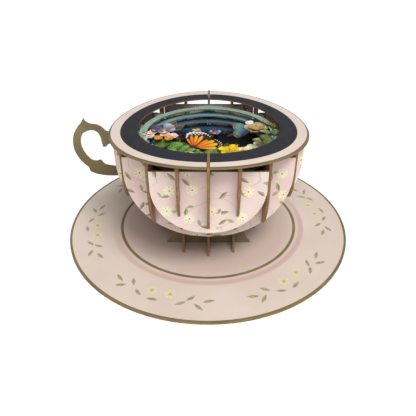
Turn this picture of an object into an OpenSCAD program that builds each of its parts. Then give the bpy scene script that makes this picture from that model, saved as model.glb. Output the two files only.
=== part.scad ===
// Slot-together card teacup on a card saucer, with a small die-cut garden inside the rim.
// Seven upright slices run front to back and seven run side to side, halved into each other.
// +X is to the right, +Y to the back and +Z up. The origin is the centre of the saucer's underside.

/* [Board] */
// Thickness of the laser-cut board
board = 1.2; // [0.8:0.1:1.4]
// Thickness of the thinner board of the rim ring and the garden rings
ring_board = 0.6; // [0.5:0.1:1.2]
// Clearance on each side of a board in its slot
slot_gap = 0.1; // [0.05:0.05:0.2]
// Thickness of the printed paper of the small die-cuts
paper = 0.4; // [0.3:0.1:0.5]

/* [Saucer] */
// Radius of the saucer
saucer_r = 80; // [78:1:100]
// How far the cup stands in front of the saucer's centre
cup_forward = 8; // [0:1:12]

/* [Cup] */
// Radius of the bowl at its upright top
bowl_r = 48; // [46:0.5:50]
// Radius of the curve that the wall follows below the upright part
wall_r = 42.5; // [40:0.5:44]
// Height at which the wall turns upright
turn_z = 51; // [49:0.5:53]
// Distance between neighbouring slices
pitch = 13.44; // [13:0.01:13.6]
// Height of the top of the cross slices
cross_top = 59.6; // [58:0.1:61]
// Height of the top of the middle slice, which carries the rim ring
rim_z = 64.5; // [63.5:0.1:66]
// How far the upright slices' front and back edges are set in, middle slice first (fuller below 0)
set_in = [1.1, 3.2, -1.5, -1.2]; // [-2.6:0.1:3.5]

/* [Foot] */
// Radius of the foot where it meets the saucer
foot_r = 26.7; // [25:0.1:28]
// Radius of the foot where it meets the bowl
foot_neck_r = 22; // [20:0.5:24]
// Height of the flared foot
foot_h = 12; // [11:0.5:13]

/* [Rim ring] */
// Outer radius of the rim ring
rim_outer_r = 49.8; // [49:0.1:51]
// Inner radius of the rim ring
rim_inner_r = 35.6; // [34:0.1:36.5]
// How far the ring sags at its left and right, between the prongs that hold it
rim_sag = 3; // [0.5:0.1:3.5]
// Angle by which the ring and the tops of the upright slices rise towards the front
rim_tilt = 1; // [0:0.1:1.5]
// Height of the prongs above the ring, at their inner ends
prong_h = 1.2; // [0.8:0.1:2]

/* [Garden] */
// Radius of the round well that the garden stands in
well_r = 37.5; // [37:0.5:39]
// Height of the top of the upper garden ring
ring_1_top = 60; // [59:0.1:60.5]
// Height of the top of the middle garden ring
ring_2_top = 56.6; // [55.5:0.1:56.8]
// Height of the top of the lower garden ring
ring_3_top = 53.7; // [52.5:0.1:54]
// Height of the top of the garden's floor disc
floor_top = 50; // [49:0.1:50.4]
// Radius of the floor disc
floor_r = 33; // [31:0.5:35]
// Reach of the pointed tabs that hook into the middle slice
tab_reach = 39.5; // [38.5:0.1:39.6]

/* [Hidden] */
$fn = 96;
side_slices = 3;
footed_slices = 1;
wall_steps = 28;
wall_x = bowl_r - wall_r;
halving_play = 0.1;
slot_w = board + 2 * slot_gap;
well_z = floor_top - board;
prong_mid_r = (rim_outer_r + rim_inner_r) / 2;
prong_reach = rim_outer_r + 0.3;
arch_r = (rim_outer_r * rim_outer_r + rim_sag * rim_sag) / (2 * rim_sag);
cup_x = 0.4;
// Lean of the two butterflies, up from the floor at the back
orange_tilt = 18;
teal_tilt = 48;

print_pink = [0.90, 0.80, 0.77];
rim_navy = [0.09, 0.10, 0.15];
teal_green = [0.36, 0.56, 0.53];
teal_blue = [0.22, 0.45, 0.52];
deep_blue = [0.12, 0.27, 0.42];
night_black = [0.03, 0.04, 0.06];

// ---- outline of the bowl and foot, as radius against height ----

// Half the width of a disc of radius r where a slice stands c from the middle
function half_chord(r, c) = sqrt(max(0, r * r - c * c));
// Radius and height of the wall at an angle down from the upright part
function wall_at(a) = [wall_x + wall_r * cos(a), turn_z - wall_r * sin(a)];
// Angle at which the wall has come in to radius r
function wall_angle(r) = r <= wall_x ? 90 : acos(min(1, (r - wall_x) / wall_r));
// Height of the wall's outside at radius r
function wall_height(r) = turn_z - wall_r * sin(wall_angle(r));
// Radius of the flared foot at height z
function foot_at(z) = foot_neck_r + (foot_r - foot_neck_r) * pow(1 - z / foot_h, 1.5);

// Where two slices cross, both are cut to the middle of their shared height.
function on_foot(j, k) = max(abs(j), abs(k)) <= footed_slices;
function cross_low(j, k) = on_foot(j, k) ? 0 : wall_height(pitch * norm([j, k]));
function cross_high(j, k) = pitch * norm([j, k]) < well_r ? well_z : cross_top;
function halving_z(j, k) = (cross_low(j, k) + cross_high(j, k)) / 2;
// Slices this many places from the middle still meet inside the bowl
function meets(j, k) = pitch * norm([j, k]) < bowl_r - board;

// How far the rim ring has sagged at a distance x from the middle slice
function sag_at(x) = arch_r - sqrt(arch_r * arch_r - x * x);

// ---- flat outlines, drawn in the plane of a slice ----

module mirrored_outline(points) {
    polygon(concat(points, [for (i = [len(points) - 1:-1:0]) [-points[i][0], points[i][1]]]));
}

// The bowl's section at a distance c from the middle, up to the given height, with its wall set in
module bowl_outline(c, top, inset) {
    start = wall_angle(c);
    mirrored_outline(concat(
        [for (i = [0:wall_steps])
            let (t = 1 - i / wall_steps, p = wall_at(start * t))
            [half_chord(p[0], c) - inset * sin(180 * t), p[1]]],
        [[half_chord(bowl_r, c), top]]));
}

module foot_outline(c) {
    steps = 8;
    mirrored_outline([for (i = [0:steps]) let (z = foot_h * i / steps) [half_chord(foot_at(z), c), z]]);
}

// The open well above the garden floor, with the walls' inner top corners rounded off
module well_outline(c, top, corner) {
    w = half_chord(well_r, c);
    translate([-w, well_z]) square([2 * w, top - well_z + 1]);
    if (corner > 0)
        for (side = [-1, 1])
            translate([side * w, top])
                difference() {
                    square(2 * corner, center = true);
                    translate([side * corner, -corner]) circle(corner, $fn = 48);
                }
}

// One slice c from the middle: the bowl, its foot if it has one, and the well cut out of it
module slice_outline(index, top, corner, inset = 0) {
    c = abs(index) * pitch;
    difference() {
        union() {
            bowl_outline(c, top, inset);
            if (abs(index) <= footed_slices) foot_outline(c);
        }
        if (c < well_r) well_outline(c, top, corner);
    }
}

// ---- boards ----

// Stands a flat outline up across the cup, at the place of cross slice k
module across(k) {
    translate([0, k * pitch + board / 2, 0]) rotate([90, 0, 0]) linear_extrude(board) children();
}

// Stands a flat outline up from front to back, at the place of slice j
module along(j) {
    translate([j * pitch - board / 2, 0, 0])
        rotate([90, 0, 90]) linear_extrude(board) children();
}

// Cuts for the crossing slices, open upwards or downwards from the halving height
module top_slots(k) {
    for (j = [-side_slices:side_slices])
        if (meets(j, k))
            translate([j * pitch - slot_w / 2, halving_z(j, k) - halving_play / 2])
                square([slot_w, rim_z]);
}

module bottom_slots(j) {
    for (k = [-side_slices:side_slices])
        if (meets(j, k))
            translate([k * pitch - slot_w / 2, -1])
                square([slot_w, halving_z(j, k) + halving_play / 2 + 1]);
}

module on_saucer() {
    translate([cup_x, -cup_forward, board]) children();
}

module cross_slice(k) {
    on_saucer() across(k) difference() {
        slice_outline(k, cross_top, 3);
        top_slots(k);
    }
}

// Turns what is drawn about the rim's height at the middle, to the tilt of the rim
module tilted(height) {
    translate([0, height]) rotate(-rim_tilt) translate([0, -height]) children();
}

// An upright slice's outline, cut off along the tilt of the rim
module upright_outline(j, top) {
    reach = bowl_r + 5;
    intersection() {
        slice_outline(j, top + 2, 0, set_in[abs(j)]);
        tilted(top) translate([-reach, top - 2 * reach]) square(2 * reach);
    }
}

module upright_slice(j) {
    on_saucer() along(j) difference() {
        // Its top stays just clear of the sagging ring
        upright_outline(j, rim_z - sag_at(abs(j) * pitch + board));
        bottom_slots(j);
    }
}

// ---- handle ----

// Smooth curve through the given points, a Catmull-Rom spline with steps points per span
function spline(p, steps = 5) = [
    for (i = [0:len(p) - 2]) for (s = [0:steps - 1])
        let (t = s / steps, a = p[max(i - 1, 0)], b = p[i], c = p[i + 1], d = p[min(i + 2, len(p) - 1)])
        b + (t / 2) * ((c - a) + t * ((2 * a - 5 * b + 4 * c - d) + t * (3 * b - a - 3 * c + d)))
];

// The scroll, as distance out from the cup's axis against height
function handle_points() = concat(
    spline([[62.6, 67.2], [64.2, 64.9], [66.6, 62.2], [68.8, 58.4], [69.8, 53.9], [69.6, 49.6],
        [68.2, 45.7], [65.8, 42.1], [63.7, 40.0]]),
    spline([[63.7, 40.0], [63.5, 38.6], [63.2, 37.5]], 2),
    spline([[63.2, 37.5], [59.4, 35.8], [52.7, 34.9], [43, 35.3]]),
    spline([[43, 40], [48.5, 40.2], [54.1, 41.1], [55.7, 42.2], [56.9, 44.1]]),
    spline([[56.9, 44.1], [59.6, 43.5], [62.3, 44.6], [65.1, 48.9], [66, 54.3], [64, 59.1],
        [59.7, 61.1], [56.7, 60.2], [55.3, 57.6], [54.9, 53.9], [54.5, 51.8]]),
    spline([[54.5, 51.8], [52.9, 52.1], [51.3, 53.5], [46, 54]]),
    spline([[46, 59.9], [51.3, 60.2], [53, 61.3], [54.8, 63.1], [57, 63.9], [60, 64.4],
        [61.9, 65.7], [62.6, 67.2]]));

module handle_slice() {
    color(print_pink) on_saucer() across(0) difference() {
        union() {
            slice_outline(0, cross_top, 3);
            difference() {
                mirror([1, 0]) polygon(handle_points());
                translate([-bowl_r + 1, 0]) square([bowl_r, rim_z]);
            }
        }
        top_slots(0);
    }
}

// ---- middle slice, with hooks over the rim ring and slots for the garden's tabs ----

module tab_slots() {
    for (top = [ring_1_top, ring_2_top, ring_3_top], side = [-1, 1])
        translate([side * (well_r + tab_reach) / 2, top - ring_board / 2])
            square([tab_reach - well_r + 0.4 + 0.2, ring_board + 2 * slot_gap], center = true);
}

// Hooks over the ring from outside; its top slopes down outwards
module prong() {
    underside = rim_z + ring_board + slot_gap;
    inner = rim_inner_r + 0.4;
    polygon([[inner, underside], [inner, underside + prong_h], [prong_reach, underside + 0.3],
        [prong_reach, rim_z - 3], [bowl_r - 1, rim_z - 3], [prong_mid_r + slot_gap, rim_z - 1],
        [prong_mid_r + slot_gap, underside]]);
}

module middle_slice() {
    color(print_pink) on_saucer() along(0) difference() {
        union() {
            upright_outline(0, rim_z);
            tilted(rim_z) {
                prong();
                mirror([1, 0]) prong();
            }
        }
        bottom_slots(0);
        tab_slots();
    }
}

// ---- flat rings and discs ----

// A board bent over the middle slice, as wide as the rim ring
module sagging_board() {
    translate([0, rim_outer_r + 1, ring_board - arch_r])
        rotate([90, 0, 0]) linear_extrude(2 * rim_outer_r + 2) difference() {
            circle(arch_r, $fn = 720);
            circle(arch_r - ring_board, $fn = 720);
        }
}

module rim_ring() {
    color(rim_navy) on_saucer() translate([0, 0, rim_z]) rotate([-rim_tilt, 0, 0]) difference() {
        intersection() {
            sagging_board();
            translate([0, 0, -rim_sag - 1]) cylinder(rim_sag + board + 2, rim_outer_r, rim_outer_r);
        }
        translate([0, 0, -rim_sag - 2]) cylinder(rim_sag + board + 4, rim_inner_r, rim_inner_r);
        for (side = [-1, 1])
            translate([0, side * (prong_mid_r + rim_outer_r + 2) / 2, board / 2])
                cube([slot_w, rim_outer_r + 2 - prong_mid_r, board + 2], center = true);
    }
}

// A pointed tab with hollow sides, drawn from a ring's edge out to tab_reach
module pointed_tab(outer_r) {
    base_y = outer_r - 3;
    half_w = 9;
    steps = 8;
    mirrored_outline(concat(
        [[half_w, base_y]],
        [for (i = [0:steps]) let (t = i / steps)
            [0.5 + (half_w - 0.5) * pow(1 - t, 2.2),
                base_y + 2.2 + (tab_reach - base_y - 2.2) * t]]));
}

module garden_ring(top, outer_r, inner_r) {
    on_saucer() translate([0, 0, top - ring_board]) difference() {
        union() {
            cylinder(ring_board, outer_r, outer_r);
            linear_extrude(ring_board) pointed_tab(outer_r);
            linear_extrude(ring_board) mirror([0, 1]) pointed_tab(outer_r);
        }
        translate([0, 0, -1]) cylinder(ring_board + 2, inner_r, inner_r);
    }
}

module garden_floor() {
    color(night_black) on_saucer() translate([0, 0, well_z]) cylinder(board, floor_r, floor_r);
}

module saucer() {
    color(print_pink) cylinder(board, saucer_r, saucer_r, $fn = 180);
}

// ---- small printed die-cuts ----

// A paper leaf along +X, with a narrow blunt stalk end near the origin and a pointed far end
module leaf(length, width, fullness = 1) {
    steps = 12;
    stalk = 0.08;
    edge = [for (i = [0:steps])
        let (t = stalk + (1 - stalk) * i / steps)
        [length * t, width / 2 * pow(sin(180 * t), fullness)]];
    linear_extrude(paper)
        polygon(concat(edge, [for (i = [steps - 1:-1:0]) [edge[i][0], -edge[i][1]]]));
}

// A paper flower: rounded petals around a centre, with notches as deep as the given share of the radius
module flower(petals, radius, notch, turn = 0) {
    points = petals * 12;
    linear_extrude(paper) polygon([for (i = [0:points - 1])
        let (a = 360 * i / points, r = radius * (1 - notch * (1 - pow(abs(cos(petals * a / 2)), 0.5))))
        r * [cos(a + turn), sin(a + turn)]]);
}

// A paper stem that follows a ring, between two angles
module stem(radius, width, from, to) {
    steps = 12;
    angles = [for (i = [0:steps]) from + (to - from) * i / steps];
    linear_extrude(paper) polygon(concat(
        [for (a = angles) (radius + width / 2) * [cos(a), sin(a)]],
        [for (i = [steps:-1:0]) (radius - width / 2) * [cos(angles[i]), sin(angles[i])]]));
}

// Lays a flat die-cut on a surface of the garden at the given height
module laid(x, y, z) {
    on_saucer() translate([x, y, z]) children();
}

// A paper wing inside a smooth closed curve
module wing(points) {
    linear_extrude(paper) polygon(spline(concat(points, [points[0]]), 4));
}

// Leans up from the floor at the back; both wings spread from one point at the lower left
module orange_butterfly() {
    color([0.90, 0.45, 0.08]) on_saucer() translate([-8, 0.5, floor_top + 0.6]) rotate([orange_tilt, 0, 0]) {
        wing([[0, 0], [-3.2, 4.6], [-4.7, 8], [-4.2, 11.6], [0, 13.2], [4.8, 13.2], [8.2, 11], [9.9, 8],
            [6.2, 4.8]]);
        wing([[0, -0.6], [3, 2.6], [6.4, 5.6], [11.2, 6.6], [14.2, 5], [15.6, 2.2], [14, -0.3],
            [9.6, -1.2], [4.6, -1.5]]);
    }
}

// Leans further up; its wings spread to the left of the body
module teal_butterfly() {
    color([0.12, 0.45, 0.45]) on_saucer() translate([21.4, 14.8, floor_top + 0.1]) rotate([teal_tilt, 0, 0]) {
        wing([[0.4, 3.4], [-1.4, 6.4], [-4.4, 8.2], [-7.6, 8.4], [-8.2, 6.4], [-7, 4.2], [-3.6, 3.4]]);
        wing([[0.4, 3.8], [-3.8, 4.2], [-7.2, 3.9], [-8.2, 2.2], [-7, 0.4], [-4, 0.1], [-1.2, 1.4]]);
    }
}

module pansy() {
    color([0.50, 0.42, 0.62]) laid(-24.2, 10, ring_2_top + paper) {
        flower(5, 7.8, 0.4, 18);
        rotate(200) leaf(9, 6, 0.7);
    }
}

module blossom_cluster() {
    color([0.90, 0.62, 0.50]) laid(-27.5, 1, ring_2_top) {
        translate([0, 1.5]) flower(5, 4.2, 0.45, 10);
        translate([5.2, 0.4]) flower(5, 3.6, 0.45, 40);
        translate([9.4, 1.6]) flower(5, 3.4, 0.45, 0);
        translate([1, -4.2]) flower(5, 3.8, 0.45, 60);
        translate([6, -4.6]) flower(5, 3.6, 0.45, 20);
        rotate(205) leaf(7, 3, 0.7);
        rotate(-8) leaf(11, 2.4, 0.5);
        rotate(-70) leaf(7, 2.4, 0.5);
        translate([6, -4.6]) rotate(95) leaf(6, 2, 0.5);
    }
}

// Leaves that reach in over the front left, from a stem along the lower ring
module leaf_spray() {
    color([0.24, 0.42, 0.12]) laid(0, 0, ring_3_top) {
        stem_r = 30.5;
        stem(stem_r, 1.6, 196, 270);
        for (i = [0:6]) let (a = 198 + i * 12, s = i % 2 == 0 ? 24 : -16)
            translate(stem_r * [cos(a), sin(a)]) rotate(a + 180 + s) leaf(i % 2 == 0 ? 19 : 14, 8, 0.7);
    }
}

module yellow_flower() {
    color([0.92, 0.76, 0.05]) laid(10.4, -7.6, ring_3_top) {
        flower(6, 7, 0.5, 15);
        rotate(-52) leaf(19.5, 5, 0.5);
        translate([5, -3]) rotate(-10) leaf(6, 4, 0.6);
    }
}

module cream_flower() {
    color([0.88, 0.85, 0.68]) laid(22.6, -6.6, ring_3_top + paper) {
        flower(7, 6.6, 0.4, 8);
        rotate(-14) leaf(9, 4.4, 0.6);
    }
}

module peach_flower() {
    color([0.85, 0.62, 0.42]) laid(25.2, 7.4, ring_2_top) {
        flower(6, 6, 0.4, 30);
        rotate(125) leaf(8, 3.6, 0.7);
    }
}

// Olive leaves in pairs along a stem on the upper ring
module leaf_sprig() {
    color([0.33, 0.36, 0.14]) laid(0, 0, ring_1_top) {
        stem_r = 33;
        stem(stem_r, 1, -27, 24);
        for (a = [-24:10:20]) translate(stem_r * [cos(a), sin(a)]) {
            rotate(a + 150) leaf(9, 4.6, 0.7);
            rotate(a + 62) leaf(5.6, 3, 0.7);
        }
    }
}

module violet() {
    color([0.35, 0.25, 0.48]) laid(3.2, 18.6, floor_top) {
        flower(5, 3.6, 0.45, 54);
        rotate(170) leaf(8, 3.4, 0.7);
        rotate(-60) leaf(6, 3, 0.7);
    }
}

saucer();
color(print_pink) upright_slice(-3);  // slice_left_3
color(print_pink) upright_slice(-2);  // slice_left_2
color(print_pink) upright_slice(-1);  // slice_left_1
middle_slice();
color(print_pink) upright_slice(1);  // slice_right_1
color(print_pink) upright_slice(2);  // slice_right_2
color(print_pink) upright_slice(3);  // slice_right_3
color(print_pink) cross_slice(-3);  // cross_front_3
color(print_pink) cross_slice(-2);  // cross_front_2
color(print_pink) cross_slice(-1);  // cross_front_1
handle_slice();
color(print_pink) cross_slice(1);  // cross_back_1
color(print_pink) cross_slice(2);  // cross_back_2
color(print_pink) cross_slice(3);  // cross_back_3
rim_ring();
color(teal_green) garden_ring(ring_1_top, 35.2, 31.6);  // garden_ring_1
color(teal_blue) garden_ring(ring_2_top, 35.5, 30.2);  // garden_ring_2
color(deep_blue) garden_ring(ring_3_top, 34.5, 28.4);  // garden_ring_3
garden_floor();
orange_butterfly();
teal_butterfly();
pansy();
blossom_cluster();
leaf_spray();
yellow_flower();
cream_flower();
peach_flower();
leaf_sprig();
violet();
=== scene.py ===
import bpy
import bmesh
import math
from mathutils import Matrix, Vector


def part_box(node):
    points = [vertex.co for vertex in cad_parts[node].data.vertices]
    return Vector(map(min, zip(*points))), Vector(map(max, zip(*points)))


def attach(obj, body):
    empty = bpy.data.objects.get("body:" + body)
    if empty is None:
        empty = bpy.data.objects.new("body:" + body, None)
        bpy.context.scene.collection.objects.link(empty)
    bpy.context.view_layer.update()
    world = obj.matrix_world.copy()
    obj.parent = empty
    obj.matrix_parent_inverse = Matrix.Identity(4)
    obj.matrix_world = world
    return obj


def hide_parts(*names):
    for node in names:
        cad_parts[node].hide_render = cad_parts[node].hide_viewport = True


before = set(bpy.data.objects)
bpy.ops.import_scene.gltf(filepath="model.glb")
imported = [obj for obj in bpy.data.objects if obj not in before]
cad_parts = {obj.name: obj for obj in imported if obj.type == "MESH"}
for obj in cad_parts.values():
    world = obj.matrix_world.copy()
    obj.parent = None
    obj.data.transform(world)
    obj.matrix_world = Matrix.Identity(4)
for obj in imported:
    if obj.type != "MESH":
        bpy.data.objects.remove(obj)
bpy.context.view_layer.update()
print("frame loaded")

mm = 0.001
cupX, cupY, cupZ = 0.4 * mm, -8 * mm, 1.2 * mm  # where the cup stands on the saucer


def startMaterial(name, roughness, specular=0.3):
    mat = bpy.data.materials.new(name)
    mat.use_nodes = True
    shader = mat.node_tree.nodes["Principled BSDF"]
    shader.inputs["Roughness"].default_value = roughness
    shader.inputs["Specular IOR Level"].default_value = specular
    return mat, shader


def feed(mat, socket, value):
    # a socket takes a link from another node, or a plain value
    if isinstance(value, bpy.types.NodeSocket):
        mat.node_tree.links.new(value, socket)
    elif value is not None:
        socket.default_value = value


def calc(mat, operation, a, b=None, c=None, clamp=False):
    node = mat.node_tree.nodes.new("ShaderNodeMath")
    node.operation = operation
    node.use_clamp = clamp
    for socket, value in zip(node.inputs, (a, b, c)):
        feed(mat, socket, value)
    return node.outputs[0]


def times(mat, a, b):
    return calc(mat, "MULTIPLY", a, b)


def plus(mat, a, b):
    return calc(mat, "ADD", a, b)


def minus(mat, a, b):
    return calc(mat, "SUBTRACT", a, b)


def absolute(mat, a):
    return calc(mat, "ABSOLUTE", a)


def above(mat, a, b):
    return calc(mat, "GREATER_THAN", a, b)


def vectorCalc(mat, operation, a, b=None, scale=None):
    node = mat.node_tree.nodes.new("ShaderNodeVectorMath")
    node.operation = operation
    feed(mat, node.inputs[0], a)
    feed(mat, node.inputs[1], b)
    if scale is not None:
        feed(mat, node.inputs["Scale"], scale)
    return node.outputs["Value"] if operation in ("LENGTH", "DOT_PRODUCT") else node.outputs[0]


def parts(mat, vector):
    node = mat.node_tree.nodes.new("ShaderNodeSeparateXYZ")
    feed(mat, node.inputs[0], vector)
    return node.outputs


def combine(mat, x=0.0, y=0.0, z=0.0):
    node = mat.node_tree.nodes.new("ShaderNodeCombineXYZ")
    for socket, value in zip(node.inputs, (x, y, z)):
        feed(mat, socket, value)
    return node.outputs[0]


def mapped(mat, vector, location=(0, 0, 0), turn=0.0, scale=(1, 1, 1)):
    node = mat.node_tree.nodes.new("ShaderNodeMapping")
    node.inputs["Location"].default_value = location
    node.inputs["Rotation"].default_value = (0, 0, turn)
    node.inputs["Scale"].default_value = scale
    feed(mat, node.inputs["Vector"], vector)
    return node.outputs[0]


def mixed(mat, amount, first, second, mode="MIX"):
    node = mat.node_tree.nodes.new("ShaderNodeMix")
    node.data_type = "RGBA"
    node.blend_type = mode
    for socket, value in ((node.inputs["Factor"], amount), (node.inputs[6], first),
                          (node.inputs[7], second)):
        feed(mat, socket, (*value, 1) if isinstance(value, tuple) and len(value) == 3 else value)
    return node.outputs[2]


def noise(mat, vector, scale, detail=2.0, roughness=0.5, distortion=0.0, colour=False):
    node = mat.node_tree.nodes.new("ShaderNodeTexNoise")
    for name, value in (("Vector", vector), ("Scale", scale), ("Detail", detail), ("Roughness", roughness),
                        ("Distortion", distortion)):
        feed(mat, node.inputs[name], value)
    return node.outputs["Color" if colour else "Fac"]


def stretch(mat, value, low, high, outLow=0.0, outHigh=1.0):
    node = mat.node_tree.nodes.new("ShaderNodeMapRange")
    for socket, number in zip(node.inputs, (value, low, high, outLow, outHigh)):
        feed(mat, socket, number)
    return node.outputs[0]


def bump(mat, shader, height, distance, strength=0.4):
    node = mat.node_tree.nodes.new("ShaderNodeBump")
    node.inputs["Strength"].default_value = strength
    node.inputs["Distance"].default_value = distance
    feed(mat, node.inputs["Height"], height)
    feed(mat, shader.inputs["Normal"], node.outputs[0])


def objectCoords(mat):
    return mat.node_tree.nodes.new("ShaderNodeTexCoord").outputs["Object"]


def surfaceNormal(mat):
    return parts(mat, mat.node_tree.nodes.new("ShaderNodeNewGeometry").outputs["True Normal"])


def below(mat, value, limit, soft):
    # 1 where value is under limit, fading over soft
    return calc(mat, "MULTIPLY", minus(mat, limit, value), 1 / soft, clamp=True)


def either(mat, a, b):
    return calc(mat, "MAXIMUM", a, b)


def ringBand(mat, radius, middle, halfWidth, soft):
    return below(mat, absolute(mat, minus(mat, radius, middle)), halfWidth, soft)


cardLook = {
    "fibreScale": 2700,
    "edgeLight": (0.35, 0.225, 0.090),
    "edgeDark": (0.15, 0.072, 0.026),
    "gold": (0.165, 0.130, 0.058),
    "goldLight": (0.235, 0.190, 0.090),
    "goldBrown": (0.135, 0.100, 0.045),
    "footBrown": (0.230, 0.185, 0.095),
    "roughness": 0.62,
}


def cutEdge(mat, coords):
    # laser-cut board edge: browned, with the board's plies and fine scorch marks
    plies = times(mat, noise(mat, coords, 5200, 3), 0.4)
    scorch = times(mat, noise(mat, coords, 420, 3, 0.6), 0.6)
    amount = stretch(mat, plus(mat, plies, scorch), 0.3, 0.7)
    return mixed(mat, amount, cardLook["edgeLight"], cardLook["edgeDark"])


def goldInk(mat, coords):
    # olive-gold print with a slow change of tone
    return mixed(mat, stretch(mat, noise(mat, coords, 60, 3), 0.35, 0.7), cardLook["gold"],
                 cardLook["goldLight"])


def brownedGold(mat, coords):
    # the gold of the slices turns brown down the handle and paler on the foot
    height = parts(mat, coords)[2]
    low = mixed(mat, stretch(mat, height, 12 * mm, 32 * mm), cardLook["footBrown"], cardLook["goldBrown"])
    return mixed(mat, stretch(mat, height, 36 * mm, 60 * mm), low, goldInk(mat, coords))


def leafMask(mat, vector, x, y, turn, length, width, soft):
    # pointed oval centred at x, y
    local = parts(mat, mapped(mat, vectorCalc(mat, "SUBTRACT", vector, (x, y, 0)), turn=-turn))
    along = times(mat, local[0], 2 / length)
    half = times(mat, minus(mat, 1.0, calc(mat, "POWER", absolute(mat, along), 1.7)), width / 2)
    return below(mat, absolute(mat, local[1]), half, soft)


def scatter(mat, plane, cell, jitter):
    # one random spot in each cell: its local place turned at random, and random numbers
    node = mat.node_tree.nodes.new("ShaderNodeTexVoronoi")
    node.voronoi_dimensions = "2D"
    node.inputs["Scale"].default_value = 1 / cell
    node.inputs["Randomness"].default_value = jitter
    feed(mat, node.inputs["Vector"], plane)
    randoms = parts(mat, node.outputs["Color"])
    local = vectorCalc(mat, "SUBTRACT", plane, node.outputs["Position"])
    spin = mat.node_tree.nodes.new("ShaderNodeVectorRotate")
    spin.rotation_type = "Z_AXIS"
    feed(mat, spin.inputs["Vector"], local)
    feed(mat, spin.inputs["Angle"], times(mat, randoms[0], 2 * math.pi))
    return spin.outputs[0], randoms


printLook = {
    "ground": (0.76, 0.585, 0.53),
    "groundWarm": (0.84, 0.70, 0.64),
    "petal": (0.86, 0.82, 0.58),
    # painted shade for the side faces of the upright slices
    "paintedFinShade": (0.36, 0.175, 0.135),
    "petalDeep": (0.40, 0.36, 0.12),
    "halo": (0.88, 0.83, 0.60),
    "heart": (0.42, 0.09, 0.03),
    "leaf": (0.135, 0.135, 0.035),
    "leafPale": (0.36, 0.36, 0.15),
    "vine": (0.30, 0.22, 0.17),
    "goldFoot": 9.6 * mm,
    "goldScroll": cupX - 50.6 * mm,
    "goldRoot": cupX - 43.4 * mm,
    "goldRootTop": cupZ + 43 * mm,
    "flowerCell": 12.6 * mm,
    "flowerRadius": 2.75 * mm,
    "leafCell": 8.4 * mm,
    "leafLength": 5.6 * mm,
    "leafWidth": 1.9 * mm,
    # each leaf of a pair: place and turn
    "leafOne": (1.5 * mm, 0.4 * mm, 0.55),
    "leafTwo": (-2.2 * mm, 0.2 * mm, -0.6),
    "inkSoft": 0.15 * mm,
}


def halfShade(mat, local, turn, width):
    # 0 on one side of a leaf's midrib and 1 on the other
    across = parts(mat, mapped(mat, local, turn=-turn))[1]
    return stretch(mat, across, -0.1 * width, 0.1 * width)


def floralPrint(mat, plane, ground):
    # blossoms with eight petals, small two-toned leaves and thin curling vines
    look = printLook
    colour = ground
    curls = noise(mat, plane, 60, 0.0, 0.5, 0.35)
    vine = below(mat, absolute(mat, minus(mat, curls, 0.5)), 0.0058, 0.005)
    colour = mixed(mat, times(mat, vine, 0.45), colour, look["vine"])
    local, randoms = scatter(mat, plane, look["leafCell"], 0.8)
    length, width, soft = look["leafLength"], look["leafWidth"], look["inkSoft"]
    x, y, turn = look["leafOne"]
    one = leafMask(mat, local, x, y, turn, length, width, soft)
    two = leafMask(mat, local, *look["leafTwo"], length * 0.8, width, soft)
    paired = times(mat, two, above(mat, randoms[2], 0.5))
    leaves = times(mat, either(mat, one, paired), above(mat, randoms[1], 0.3))
    shade = halfShade(mat, vectorCalc(mat, "SUBTRACT", local, (x, y, 0)), turn, width)
    tint = mixed(mat, shade, look["leaf"], look["leafPale"])
    colour = mixed(mat, times(mat, leaves, 0.85), colour, tint)
    local, randoms = scatter(mat, plane, look["flowerCell"], 0.7)
    place = parts(mat, local)
    radius = vectorCalc(mat, "LENGTH", local)
    angle = calc(mat, "ARCTAN2", place[1], place[0])
    lobes = absolute(mat, calc(mat, "COSINE", times(mat, angle, 3.5)))
    limit = times(mat, plus(mat, times(mat, lobes, 0.3), 0.7), look["flowerRadius"])
    shown = above(mat, randoms[1], 0.2)
    halo = times(mat, stretch(mat, radius, 1.25 * look["flowerRadius"], 0.7 * look["flowerRadius"]), shown)
    colour = mixed(mat, times(mat, halo, 0.4), colour, look["halo"])
    petals = times(mat, below(mat, radius, limit, 0.25 * mm), shown)
    share = calc(mat, "DIVIDE", radius, look["flowerRadius"])
    streak = times(mat, stretch(mat, lobes, 0.75, 0.1), stretch(mat, share, 0.1, 0.7))
    half = stretch(mat, place[0], 0.1 * mm, 1.6 * mm)
    tone = times(mat, streak, plus(mat, 0.25, times(mat, half, 0.75)))
    petalTone = mixed(mat, tone, look["petal"], look["petalDeep"])
    colour = mixed(mat, times(mat, petals, 0.9), colour, petalTone)
    heart = times(mat, below(mat, radius, 0.45 * mm, 0.2 * mm), shown)
    return mixed(mat, heart, colour, look["heart"])


def finishCard(mat, shader, coords, facing, face):
    # print on the flat faces, browned board on the cut edges and a fine paper grain
    onFace = above(mat, absolute(mat, facing), 0.5)
    feed(mat, shader.inputs["Base Color"], mixed(mat, onFace, cutEdge(mat, coords), face))
    bump(mat, shader, noise(mat, coords, cardLook["fibreScale"], 4, 0.6), 0.05 * mm, 0.25)
    return mat


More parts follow.
